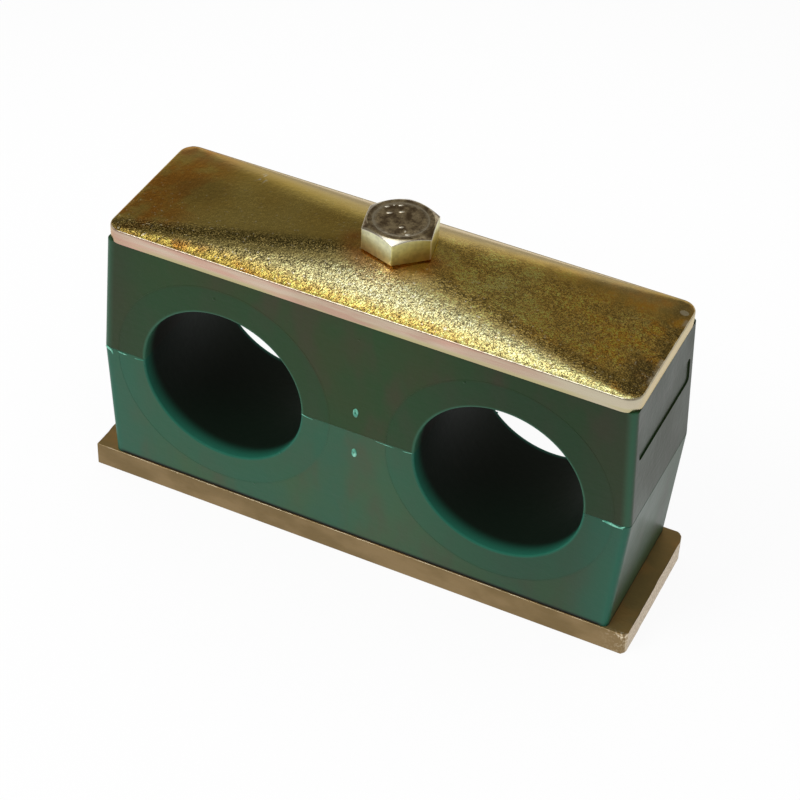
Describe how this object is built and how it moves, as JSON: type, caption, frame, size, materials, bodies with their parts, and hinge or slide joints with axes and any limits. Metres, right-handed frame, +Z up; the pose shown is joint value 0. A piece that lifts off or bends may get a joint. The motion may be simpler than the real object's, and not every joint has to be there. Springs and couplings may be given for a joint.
{
  "type": "hydraulic tube clamp",
  "caption": "Twin clamp that holds two hydraulic tubes side by side between plastic half shells, under a bolted cover plate on a weld plate.",
  "frame": {"origin": "middle of the weld plate's underside", "axes": "+X along the row of tubes, +Y along the tubes, +Z up out of the weld plate along the bolt"},
  "size_m": [0.112, 0.0306, 0.0695],
  "materials": {
    "bare_steel": "brown phosphated flat bar, satin",
    "bush_steel": "turned steel, satin",
    "green_plastic": "moulded polypropylene, semi-gloss",
    "yellow_zinc": "yellow passivated zinc, fine grain",
    "bolt_zinc": "pale yellow passivated zinc"
  },
  "bodies": {
    "base": {"weld_plate": "bare_steel", "threaded_bush": "bush_steel", "lower_clamp_half": "green_plastic"},
    "upper_half": {"upper_clamp_half": "green_plastic"},
    "cover": {"cover_plate": "yellow_zinc"},
    "bolt": {"hex_bolt": "bolt_zinc"}
  },
  "joints": [
    {"name": "upper_half_lift", "type": "slide", "parent": "base", "child": "upper_half", "axis": [0, 0, 1], "range_m": [0, 0.06]},
    {"name": "cover_lift", "type": "slide", "parent": "upper_half", "child": "cover", "axis": [0, 0, 1], "range_m": [0, 0.00875]},
    {"name": "bolt_turn", "type": "hinge", "parent": "cover", "child": "bolt", "pos_m": [0, 0, 0.0643], "axis": [0, 0, 1], "range_deg": [0, 2520]}
  ],
  "couplings": [
    {"joint": "bolt_turn", "follows": "cover_lift", "rad_per_m": 5026.5}
  ]
}
